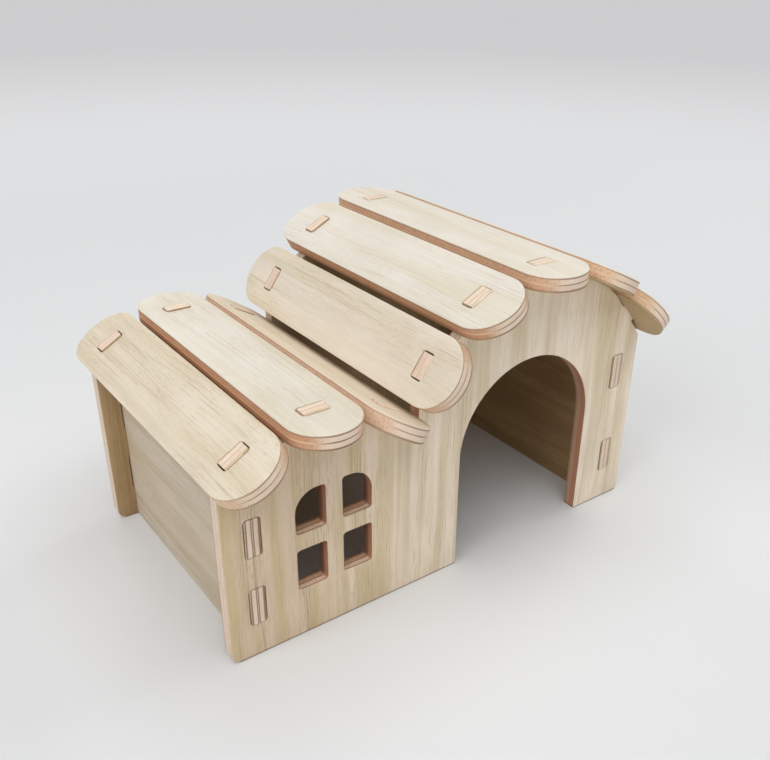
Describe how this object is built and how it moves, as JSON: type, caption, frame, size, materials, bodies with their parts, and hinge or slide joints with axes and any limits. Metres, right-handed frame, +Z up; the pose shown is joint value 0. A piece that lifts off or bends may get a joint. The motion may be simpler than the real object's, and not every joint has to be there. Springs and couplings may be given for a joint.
{
  "type": "wooden hamster house",
  "caption": "Slot-together plywood hamster house with an arched doorway, a four-pane window and a curved roof of tabbed planks at two heights.",
  "frame": {"origin": "on the table, at the middle of the bounding box of the whole house", "axes": "+X along the front wall from the low end to the high end, +Y from the front wall with the doorway to the back wall, +Z up"},
  "size_m": [0.209, 0.149, 0.123],
  "materials": {
    "plank_ply": "matte",
    "wall_ply": "matte",
    "side_ply": "matte"
  },
  "bodies": {
    "root": {"front_wall": "wall_ply", "back_wall": "wall_ply", "left_side_wall": "side_ply", "right_side_wall": "side_ply", "low_plank_1": "plank_ply", "low_plank_2": "plank_ply", "low_plank_3": "plank_ply", "high_plank_1": "plank_ply", "high_plank_2": "plank_ply", "high_plank_3": "plank_ply", "high_plank_4": "plank_ply", "high_plank_5": "plank_ply"}
  },
  "joints": []
}
